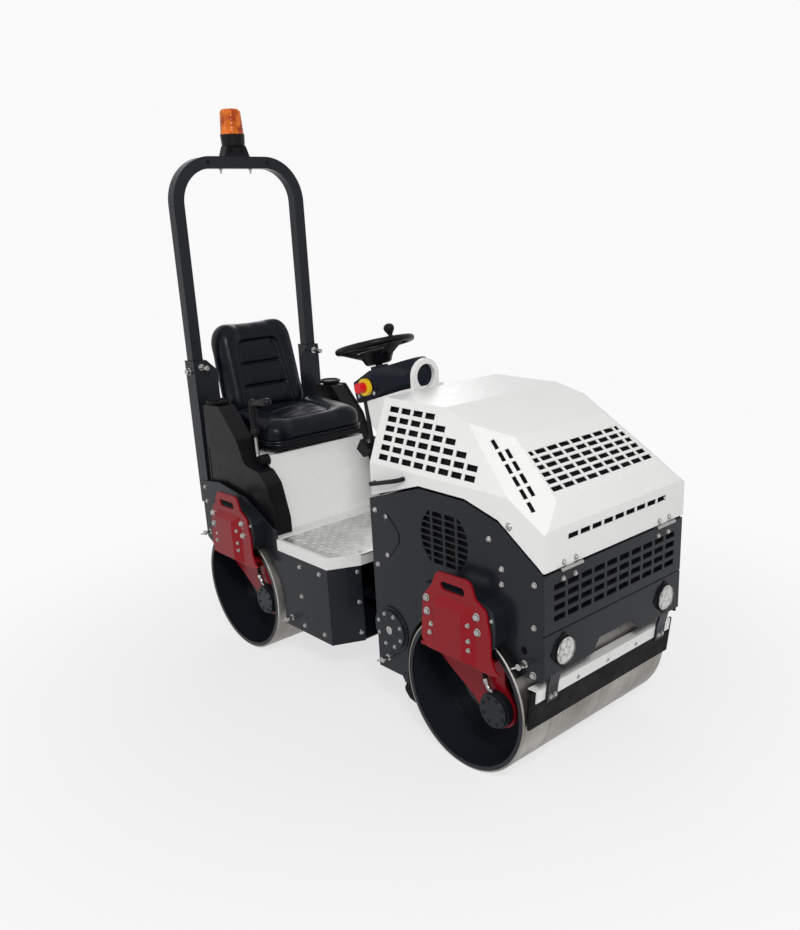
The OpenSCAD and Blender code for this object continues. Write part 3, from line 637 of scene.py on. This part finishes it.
def add_hood_screens(finishes):
    """Dark mesh just under the slots of the hood."""
    kit = Kit("hood_screens", "bonnet", "rubber")
    lean, rise = HOOD_SIDE_RUN
    for side in SIDES:
        climb = Vector((0, -side * lean, rise)).normalized()
        normal = Vector((0, side * rise, lean)).normalized()
        origin = at_front(0, side * SIDE_Y, HOOD_SIDE_FOOT) - normal * SCREEN_SINK * MM
        corners = [(-430, 12), (70, 12), (70, 66), (-170, 205), (-430, 205)]
        along = FORWARD if side < 0 else -FORWARD
        kit.plate(origin, along, climb, corners if side < 0 else mirrored(corners), SCREEN_T)
        turn = Matrix.Rotation(side * FACET_TURN, 3, "Z") @ Matrix.Rotation(FACET_TIP, 3, "Y")
        origin = at_front(HOOD_BREAK[0], side * FACET_Y, HOOD_BREAK[1]) - turn @ UP * SCREEN_SINK * MM
        skew = Matrix.Rotation(-side * FACET_SKEW, 3, "Z")
        along = turn @ skew @ FORWARD
        across = turn @ skew @ ACROSS
        near, far = sorted((side * 34, side * 80))
        kit.plate(origin, along, across, [(-26, near), (272, near), (272, far), (-26, far)], SCREEN_T)
    down = Vector((math.cos(SLOPE_DROP), 0, -math.sin(SLOPE_DROP)))
    normal = Vector((math.sin(SLOPE_DROP), 0, math.cos(SLOPE_DROP)))
    origin = at_front(HOOD_BREAK[0], 0, HOOD_BREAK[1]) - normal * SCREEN_SINK * MM
    kit.plate(origin, down, ACROSS, [(60, -245), (232, -268), (232, 268), (60, 245)], SCREEN_T)
    row = [(-270, -16), (270, -16), (270, 16), (-270, 16)]
    kit.plate(at_front(334, 0, 901), ACROSS, UP, row, SCREEN_T)
    kit.done(finishes)


def add_nose_screens(finishes):
    """Dark mesh behind the round side fields and the front grille."""
    kit = Kit("nose_screens", "nose", "rubber")
    radius = 122
    steps = 24
    turns = [k * math.pi / (steps / 2) for k in range(steps)]
    ring = [(radius * math.cos(a), radius * math.sin(a)) for a in turns]
    for side in SIDES:
        origin = at_front(-88, side * 358, 815)
        kit.plate(origin, FORWARD if side < 0 else -FORWARD, UP, ring, SCREEN_T)
    grille = [(-355, -70), (355, -70), (355, 57), (-355, 57)]
    kit.plate(at_front(330, 0, 705), ACROSS, UP, grille, SCREEN_T)
    kit.done(finishes)


# Fasteners: [lengthwise, height] spots on a side, or places across the machine

NOSE_PANEL_BOLTS = [(-442, 848), (-443, 639), (121, 870), (174, 782), (173, 730), (308, 765), (306, 622)]
PLATE_SCREWS = [(-381, 836), (-383, 690)]
REAR_PANEL_BOLTS = [(-278, 697), (-275, 630), (439, 491), (574, 494), (437, 359), (442, 229), (581, 231)]
BRACKET_BIG = [(-117, 623), (-116, 574), (118, 622), (121, 569)]
BRACKET_SMALL = [(-100, 530), (-108, 497)]
COVER_SMALL = [(86, 585), (86, 530), (86, 497)]
BAR_SCREWS = [-162, 0, 162]
HINGE_BOLTS = (225, 283)
HANGER_BOLTS = (290, 312)
ISOLATOR_BOLT = (176, 622)
SCRAPER_BOLT = (302, 457)
HOOD_SCREW = (206, 930)
CONSOLE_SCREWS = [(-805, 1178), (-713, 1200)]
MOTOR_AXIS = (95, 234)
COVER_AXIS = (-385, 396)

# Faces at the front that fasteners sit on, lengthwise and up
HINGE_BASE = (346, 771)
HINGE_LEAF = (348, 826)
HANGER_FACE = (320, 365)
BAR_FACE = (313, 375)

# Slanted front corners of the footplate's box: middle, slant and heights of the bolts; screws in the tray
CORNER_MIDDLE = (680, 260.7)
CORNER_SLANT = (126, 60)
CORNER_BOLTS = (500, 370, 235)
TRAY_SCREWS = [(312, 330), (590, 326), (660, 226)]
TRAY_Z = 570

# Faces that fasteners sit on, across the machine
BRACKET_Y = 433
BRACKET_COVER_Y = 443
HOUSING_Y = 425
MOTOR_Y = 348
CONSOLE_Y = 128

# Radius of a bolt's washer or a screw's head
BIG = 14
PANEL = 10
SMALL = 9
FINE = 8
TINY = 7


def ring_of(kit, place, side, radius, count, size):
    """Bolts on a circle that faces sideways."""
    for k in range(count):
        angle = 2 * math.pi * (k + 0.5) / count
        spot = Vector((math.cos(angle), 0, math.sin(angle))) * radius * MM
        kit.bolt(place + spot, outward(side), size)


def add_bracket_bolts(kit, at, side):
    """Bolts of one red bracket and its cover."""
    axis = outward(side)
    for u, z in BRACKET_BIG:
        kit.bolt(at(u, side * BRACKET_Y, z), axis, BIG)
    for u, z in BRACKET_SMALL:
        kit.bolt(at(u, side * BRACKET_Y, z), axis, SMALL)
    for u, z in COVER_SMALL:
        kit.bolt(at(u, side * BRACKET_COVER_Y, z), axis, SMALL)
    kit.bolt(at(ISOLATOR_BOLT[0], side * HOUSING_Y, ISOLATOR_BOLT[1]), axis, TINY)


def add_motor_bolts(finishes):
    """Painted bolts round the drive motors."""
    for name, body, at in (("nose_motor_bolts", "nose", at_front), ("rear_motor_bolts", "rear", at_rear)):
        kit = Kit(name, body, "frame_paint")
        for side in SIDES:
            place = at(MOTOR_AXIS[0], side * MOTOR_Y, MOTOR_AXIS[1])
            ring_of(kit, place, side, radius=47, count=8, size=TINY)
        kit.done(finishes)


def add_nose_bolts(finishes):
    """Plated fasteners of the front half."""
    kit = Kit("nose_bolts", "nose", "bright_steel")
    for side in SIDES:
        axis = outward(side)
        for u, z in NOSE_PANEL_BOLTS:
            kit.bolt(at_front(u, side * SIDE_Y, z), axis, PANEL)
        for u, z in PLATE_SCREWS:
            kit.screw(at_front(u, side * (SIDE_Y + 3), z), axis, SMALL)
        add_bracket_bolts(kit, at_front, side)
        cover = at_front(COVER_AXIS[0], side * (SIDE_Y + 12), COVER_AXIS[1])
        ring_of(kit, cover, side, radius=64, count=8, size=FINE)
        kit.lathe(cover, axis, [(16, -1), (16, 3), (12, 5), (5, 5), (5, 3), (0, 3)], sides=24)
        kit.bolt(at_front(SCRAPER_BOLT[0], side * SIDE_Y, SCRAPER_BOLT[1]), axis, 13)
        for y in HINGE_BOLTS:
            kit.bolt(at_front(HINGE_BASE[0], side * y, HINGE_BASE[1]), FORWARD, SMALL)
        for y in HANGER_BOLTS:
            kit.bolt(at_front(HANGER_FACE[0], side * y, HANGER_FACE[1]), FORWARD, SMALL)
    for y in BAR_SCREWS:
        kit.screw(at_front(BAR_FACE[0], y, BAR_FACE[1]), FORWARD, FINE)
    for u, z in CONSOLE_SCREWS:
        kit.screw(at_front(u, -CONSOLE_Y, z), outward(-1), FINE)
    kit.done(finishes)


def add_rear_bolts(finishes):
    """Plated fasteners of the rear half."""
    kit = Kit("rear_bolts", "rear", "bright_steel")
    for side in SIDES:
        axis = outward(side)
        for v, z in REAR_PANEL_BOLTS:
            kit.bolt(at_rear(v, side * SIDE_Y, z), axis, PANEL)
        add_bracket_bolts(kit, at_rear, side)
        corner = Vector((CORNER_SLANT[0], side * CORNER_SLANT[1], 0)).normalized()
        for z in CORNER_BOLTS:
            kit.bolt(at_rear(CORNER_MIDDLE[0], side * CORNER_MIDDLE[1], z), corner, SMALL)
        for v, y in TRAY_SCREWS:
            kit.screw(at_rear(v, side * y, TRAY_Z), UP, FINE)
    kit.done(finishes)


def add_hood_bolts(finishes):
    """Plated fasteners of the hood."""
    kit = Kit("hood_bolts", "bonnet", "bright_steel")
    for side in SIDES:
        for y in HINGE_BOLTS:
            kit.bolt(at_front(HINGE_LEAF[0], side * y, HINGE_LEAF[1]), FORWARD, SMALL)
        kit.screw(at_front(HOOD_SCREW[0], side * SIDE_Y, HOOD_SCREW[1]), outward(side), 13)
    kit.done(finishes)


# Raised pattern of the tread plate


def add_tread(finishes):
    """Drop-shaped studs in alternating directions."""
    kit = Kit("tread_studs", "rear", "tread_metal")
    pitch = 26
    length = 11
    width = 4
    rise = 1.6
    low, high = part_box("tread_plate")
    rows = int((high[0] - low[0]) / (pitch * MM))
    columns = int((high[1] - low[1]) / (pitch * MM))
    corner = 60 * MM
    bare = 20 * MM
    slant = 1.6
    outline = [(-length, 0), (-length * 0.3, -width * 0.7), (length * 0.4, -width), (length, 0),
               (length * 0.4, width), (-length * 0.3, width * 0.7)]
    for row in range(rows):
        for column in range(columns):
            x = low[0] + (row + 0.8) * pitch * MM
            y = low[1] + (column + 0.6) * pitch * MM
            cut = max(0.0, x - (high[0] - 3 * corner / 2)) * slant
            if abs(y) > high[1] - bare - cut or x > high[0] - bare:
                continue
            turn = Matrix.Rotation(math.radians(45 if (row + column) % 2 else -45), 3, "Z")
            spot = Vector((x, y, high[2]))
            foot = [turn @ Vector((a, b, -0.2)) for a, b in outline]
            peak = [turn @ Vector((a * 0.6, b * 0.5, rise)) for a, b in outline]
            base = [kit.mesh.verts.new(spot + point * MM) for point in foot]
            crown = [kit.mesh.verts.new(spot + point * MM) for point in peak]
            kit.bridge(base, crown, len(outline))
            kit.mesh.faces.new(crown)
    kit.done(finishes)


# Lamps, pressure lines, pins, caps and the lever's rod


def add_lamps(finishes):
    """Clusters of small reflectors behind clear discs."""
    kit = Kit("lamp_clusters", "nose", "tread_metal")
    glass = Kit("lamp_discs", "nose", "lamp_glass")
    face, lamp_y, lamp_z = 351, 277, 527
    floor_t = 0.8
    ring_r = 26
    floor = [(45, 0), (45, floor_t), (0, floor_t)]
    cup = [(13, 0), (13, 3), (12, 3.2), (7, 0.8), (3.6, 0.5), (2.6, 1.8), (0, 2.4)]
    clear = [(0, 4.4), (45.5, 4.4), (45.5, 5.6), (34, 7.2), (0, 8)]
    turns = [k * math.pi / 3 for k in range(6)]
    spots = [(0, 0)] + [(ring_r * math.cos(a), ring_r * math.sin(a)) for a in turns]
    for side in SIDES:
        middle = at_front(face, side * lamp_y, lamp_z)
        kit.lathe(middle, FORWARD, floor, sides=32)
        for y, z in spots:
            place = at_front(face + floor_t, side * lamp_y + y, lamp_z + z)
            kit.lathe(place, FORWARD, cup, sides=18)
        glass.lathe(middle, FORWARD, clear, sides=40)
    piece = kit.done(finishes)
    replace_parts(piece, "lamp_lenses")
    glass.done(finishes)


def add_pressure_lines(finishes):
    """Short lines from the bracket's cover down to each drive motor."""
    line_y = 330
    route = [(36, 431), (38, 400), (42, 370), (48, 344), (54, 326)]
    bend = [(54, 330), (58, 314), (66, 305), (78, 301), (86, 299)]
    nut = [(12, -8), (13, -6), (13, 6), (12, 8), (0, 8)]
    nut_axis = (-0.4, 0, 0.9)
    for name, body, at in (("nose_lines", "nose", at_front), ("rear_lines", "rear", at_rear)):
        lines = Kit(name, body, "rubber")
        fittings = Kit(name + "_fittings", body, "bright_steel")
        for side in SIDES:
            lines.tube([at(u, side * line_y, z) for u, z in route], radius=8)
            fittings.tube([at(u, side * line_y, z) for u, z in bend], radius=9)
            fittings.lathe(at(53, side * line_y, 330), nut_axis, nut, sides=6)
        lines.done(finishes)
        fittings.done(finishes)


def add_pins(finishes):
    """Heads of the roll bar's fold pins, studs under the bar, locking pins and dark screws."""
    bar_v = -351
    head = [(17, 0), (17, 3), (13, 4), (13, 16), (10, 20), (0, 20)]
    stud = [(8, -1), (8, 5), (4, 6), (4, 20), (0, 20)]
    kit = Kit("fold_pin_heads", "hoop", "bright_steel")
    for side in SIDES:
        kit.lathe(at_rear(bar_v, side * 341, 1215), outward(side), head, sides=24)
        kit.lathe(at_rear(bar_v, side * 75, 2068), -UP, stud, sides=12)
    kit.done(finishes)
    pin = [(15, -1), (15, 6), (7, 7), (7, 44), (11, 46), (11, 62), (8, 66), (0, 66)]
    kit = Kit("lock_pins", "rear", "bright_steel")
    for side in SIDES:
        kit.lathe(at_rear(-309, side * 308, 1234), FORWARD, pin)
    kit.done(finishes)
    kit = Kit("bar_screws", "hoop", "rubber")
    for side in SIDES:
        kit.screw(at_rear(-326, side * 150, 2093), FORWARD, FINE)
        kit.bolt(at_rear(-327, side * 28, 2142), FORWARD, FINE)
    kit.done(finishes)


def add_tank_caps(finishes):
    """Wide filler caps with a sunk middle and grip ribs."""
    kit = Kit("filler_caps", "rear", "black_plastic")
    cap_v, cap_y, cap_z = -190, 308, 1062
    neck, skirt = 32, 49
    ribs = 32
    rib_foot, rib_long, rib_r = 28, 8, 1.6
    stem = [(0, 0), (neck, 0), (neck, 25), (skirt - 5, 25), (skirt, 28), (skirt, 36)]
    rim = [(skirt - 3, 39), (skirt - 8, 39), (skirt - 12, 33), (0, 33)]
    for side in SIDES:
        foot = at_rear(cap_v, side * cap_y, cap_z)
        kit.lathe(foot, UP, stem + rim, sides=48)
        for k in range(ribs):
            angle = 2 * math.pi * k / ribs
            spoke = Vector((math.cos(angle), math.sin(angle), 0))
            start = foot + (spoke * skirt + UP * rib_foot) * MM
            kit.tube([start, start + UP * rib_long * MM], rib_r, sides=6)
    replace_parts(kit.done(finishes), "tank_caps")


def add_lever_rod(finishes):
    """Bright rod of the travel lever, from its boot up to the grip."""
    kit = Kit("lever_rod", "rear", "bright_steel")
    lever_v, lever_y = 66, -290
    boot_z, grip_z = 868, 966
    bend = 26
    steps = 6
    turn = [math.pi / 2 * k / steps for k in range(steps + 1)]
    path = [(lever_v + bend - bend * math.sin(a), boot_z + bend - bend * math.cos(a)) for a in turn]
    path.append((lever_v, grip_z))
    kit.tube([at_rear(v, lever_y, z) for v, z in path], radius=7.8, sides=14)
    kit.done(finishes)


# Guards and wing bolts at the drums


def add_guards(finishes):
    """Strips along the front edge of the arches."""
    strips = Kit("arch_strips", "nose", "rubber")
    inner, outer = 291, 301
    first, last = math.radians(32), math.radians(64)
    width, proud = 24, 22
    steps = 10
    for side in SIDES:
        arc = [first + (last - first) * k / steps for k in range(steps + 1)]
        ring = [(inner * math.cos(a), inner * math.sin(a)) for a in arc]
        ring += [(outer * math.cos(a), outer * math.sin(a)) for a in reversed(arc)]
        origin = at_front(0, side * (SIDE_Y + proud), DRUM_R / MM)
        if side < 0:
            strips.plate(origin, FORWARD, UP, ring, width)
        else:
            strips.plate(origin, -FORWARD, UP, mirrored(ring), width)
    strips.done(finishes)


def add_wing_bolts(finishes):
    """Wing bolts that hold the scrapers, at [lengthwise, height] spots on a side."""
    head = [(13, -1), (13, 3), (7, 4), (7, 24), (11, 25), (11, 34), (0, 34)]
    wing = [(-24, 37, -11), (0, 29, 0), (24, 37, 11)]
    for name, body, at, spots in (("nose_wing_bolts", "nose", at_front, [(268, 486), (-414, 272)]),
                                  ("rear_wing_bolts", "rear", at_rear, [(352, 239), (-276, 482)])):
        kit = Kit(name, body, "bright_steel")
        for side in SIDES:
            for u, z in spots:
                kit.lathe(at(u, side * SIDE_Y, z), outward(side), head, sides=18)
                path = [at(u + du, side * (SIDE_Y + dy), z + dz) for du, dy, dz in wing]
                kit.tube(path, radius=4, sides=8)
        kit.done(finishes)


# Seat: padded pieces swollen by a cloth simulation, then stitched

PAD_SHRINK = 0.99
PAD_VOXEL = 6
PAD_PRESSURE = 4
PAD_SWELL = 14
PAD_CALM = 44
CLOTH_FRAMES = 20

# Cushion: its foot and top, its middle lengthwise, and its growth about that middle
CUSHION_BASE = 915
CUSHION_TOP = 1007
CUSHION_MIDDLE = -51
CUSHION_LENGTHEN = 1.04
CUSHION_WIDEN = 1.08

# Backrest: the foot of its front face, its lean, its length as a solid, and its ends as a padded piece
BACK_FOOT = (-248, 997)
BACK_LEAN = math.radians(14)
BACK_LONG = 420
BACK_REACH = (-34, 436)
BACK_WIDEN = 1.03


def ease(value, low, high):
    """0 below low, 1 above high, smooth in between."""
    t = min(1.0, max(0.0, (value - low) / (high - low)))
    return t * t * (3 - 2 * t)


def stitch(distance, width):
    """Depth of a sewn line, from 1 on the line to 0."""
    return math.exp(-(distance / width) ** 2)


def edge_distance(x, y, half_x, half_y, radius):
    """Signed distance from a rounded rectangle's outline, negative inside."""
    dx = abs(x) - half_x + radius
    dy = abs(y) - half_y + radius
    outside = math.hypot(max(dx, 0.0), max(dy, 0.0))
    return outside + min(max(dx, dy), 0.0) - radius


def apply_modifiers(piece):
    """Turns what the modifiers show into the piece's own mesh."""
    graph = bpy.context.evaluated_depsgraph_get()
    baked = bpy.data.meshes.new_from_object(piece.evaluated_get(graph))
    piece.modifiers.clear()
    piece.data = baked


def swollen(name, node):
    """A copy of a soft solid, shrunk, remeshed, blown up as cloth and calmed."""
    piece = link_object(name, frame["nodes"][node].data.copy())
    low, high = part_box(node)
    middle = (Vector(low) + Vector(high)) / 2
    for vertex in piece.data.vertices:
        vertex.co = middle + (vertex.co - middle) * PAD_SHRINK
    remesh = piece.modifiers.new("remesh", "REMESH")
    remesh.mode = "VOXEL"
    remesh.voxel_size = PAD_VOXEL * MM
    apply_modifiers(piece)
    rest = [v.co.copy() for v in piece.data.vertices]
    cloth = piece.modifiers.new("cloth", "CLOTH")
    cloth.settings.use_pressure = True
    cloth.settings.uniform_pressure_force = PAD_PRESSURE
    cloth.settings.effector_weights.gravity = 0
    cloth.point_cache.frame_end = CLOTH_FRAMES
    for step in range(1, CLOTH_FRAMES + 1):
        bpy.context.scene.frame_set(step)
    apply_modifiers(piece)
    bpy.context.scene.frame_set(1)
    for vertex, start in zip(piece.data.vertices, rest):
        move = vertex.co - start
        if move.length > PAD_SWELL * MM:
            vertex.co = start + move.normalized() * PAD_SWELL * MM
    calm = piece.modifiers.new("calm", "SMOOTH")
    calm.factor = 0.5
    calm.iterations = PAD_CALM
    finer = piece.modifiers.new("finer", "SUBSURF")
    finer.levels = 1
    apply_modifiers(piece)
    return piece


def finish_pad(piece, node, finishes):
    """Vinyl on a padded piece, which stands for its solid."""
    mesh = piece.data
    mesh.materials.clear()
    mesh.materials.append(finishes["vinyl"])
    smooth(mesh, PAD_SMOOTH)
    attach(piece, "rear")
    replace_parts(piece, node)


def add_cushion(finishes):
    """Crowned seat with side rolls, a stitched centre and a rounded front."""
    piece = swollen("cushion", "seat_cushion")
    panel_v, panel_long, panel_wide, panel_r = -72, 132, 112, 55
    roll_rise, crown_rise, rear_rise, front_dip = 11, 5, 11, 12
    seam_depth, seam_width = 6, 9
    line_depth, line_width, line_bow = 4, 8, 0.12
    roll_span, roll_end, roll_fade = (110, 165), (20, 110), 0.6
    dip_span, lift_span = (70, 140), (-60, 120)
    low = CUSHION_BASE + 1
    for vertex in piece.data.vertices:
        v = (vertex.co.x - REAR_X) / MM
        y = vertex.co.y / MM
        z = vertex.co.z / MM
        top = ease(z, CUSHION_BASE + 40, CUSHION_TOP - 10)
        inside = edge_distance(v - panel_v, y, panel_long, panel_wide, panel_r)
        rolls = roll_rise * ease(abs(y), *roll_span) * (1 - roll_fade * ease(v, *roll_end))
        centre = crown_rise * ease(-inside, 0, 70)
        seams = seam_depth * stitch(inside, seam_width)
        for line in (-72, 6):
            across = stitch(v - line - abs(y) * line_bow, line_width)
            seams += line_depth * across * ease(-inside, 0, 12)
        dip = front_dip * ease(v, *dip_span) - rear_rise * ease(-v, *lift_span)
        vertex.co.x = REAR_X + (CUSHION_MIDDLE + (v - CUSHION_MIDDLE) * CUSHION_LENGTHEN) * MM
        vertex.co.y = y * CUSHION_WIDEN * MM
        vertex.co.z = max(z + top * (rolls + centre - seams - dip), low) * MM
    finish_pad(piece, "seat_cushion", finishes)


def add_backrest(finishes):
    """Tapered back with thick side rolls around three sewn pads."""
    piece = swollen("backrest", "seat_back")
    foot = at_rear(BACK_FOOT[0], 0, BACK_FOOT[1])
    rise = Vector((-math.sin(BACK_LEAN), 0, math.cos(BACK_LEAN)))
    out = Vector((math.cos(BACK_LEAN), 0, math.sin(BACK_LEAN)))
    panel_top, panel_half, panel_r = 334, 220, 34
    pitch = 106
    panel_foot, panel_taper = 134, 0.09
    narrow_from, narrowing = 200, 0.06
    roll_from, roll_width = 85, 125
    face_span = (-45, -8)
    roll_rise, panel_sink, pad_rise = 14, 14, 9
    seam_depth, line_depth, seam_width = 6, 7, 5
    stretch = (BACK_REACH[1] - BACK_REACH[0]) / BACK_LONG
    for vertex in piece.data.vertices:
        spot = (vertex.co - foot) / MM
        grow = BACK_REACH[0] + spot.dot(rise) * (stretch - 1)
        a = spot.dot(rise) + grow
        y = spot.y * BACK_WIDEN * (1 - narrowing * ease(a, narrow_from, BACK_LONG))
        front = ease(spot.dot(out), *face_span)
        panel_wide = panel_foot - panel_taper * a
        inside = edge_distance(a - panel_top + panel_half, y, panel_half, panel_wide, panel_r)
        rolls = roll_rise * math.sin(math.pi * min(1.0, max(0.0, (abs(y) - roll_from) / roll_width)))
        sunk = panel_sink * ease(-inside, -3, 9)
        seams = seam_depth * stitch(inside, seam_width)
        pads = 0
        for line in (1, 2, 3):
            seams += line_depth * stitch(a - panel_top + line * pitch, seam_width) * ease(-inside, 6, 16)
            middle = panel_top - (line - 0.5) * pitch
            pads += pad_rise * max(0.0, 1 - ((a - middle) / (pitch / 2)) ** 2) * ease(-inside, 6, 30)
        vertex.co += (out * front * (rolls + pads - sunk - seams) + rise * grow) * MM
        vertex.co.y = y * MM
    finish_pad(piece, "seat_back", finishes)


def add_piping(finishes):
    """Two welts round the foot of the cushion."""
    kit = Kit("cushion_welts", "rear", "vinyl")
    rear_v, front_v, half, radius = -236, 134, 248, 66
    steps = 8
    for z, grow in ((CUSHION_BASE + 8, 2), (CUSHION_BASE + 22, 4)):
        path = []
        for cx, cy, start in ((front_v - radius, half - radius, 0), (rear_v + radius, half - radius, 90),
                              (rear_v + radius, radius - half, 180), (front_v - radius, radius - half, 270)):
            for k in range(steps + 1):
                angle = math.radians(start + 90 * k / steps)
                reach = radius + grow
                path.append(at_rear(cx + reach * math.cos(angle), cy + reach * math.sin(angle), z))
        kit.tube(path, radius=5, sides=8, closed=True)
    kit.done(finishes)


bpy.context.scene.view_settings.view_transform = "Standard"
make_camera()
make_floor()
make_world()
make_lamps()
finishes = {maker.__name__: maker() for maker in FINISH_MAKERS}
dress_nodes(finishes)
dress_drum("front_drum", FRONT_X, finishes)
dress_drum("rear_drum", REAR_X, finishes)
add_seams("front_drum_welds", "front_roller", FRONT_X, finishes)
add_seams("rear_drum_welds", "rear_roller", REAR_X, finishes)
add_rim_paint("front_rim_paint", "front_roller", FRONT_X, finishes)
add_rim_paint("rear_rim_paint", "rear_roller", REAR_X, finishes)
add_hood_screens(finishes)
add_nose_screens(finishes)
add_motor_bolts(finishes)
add_nose_bolts(finishes)
add_rear_bolts(finishes)
add_hood_bolts(finishes)
add_tread(finishes)
add_lamps(finishes)
add_pressure_lines(finishes)
add_pins(finishes)
add_tank_caps(finishes)
add_lever_rod(finishes)
add_guards(finishes)
add_wing_bolts(finishes)
add_cushion(finishes)
add_backrest(finishes)
add_piping(finishes)
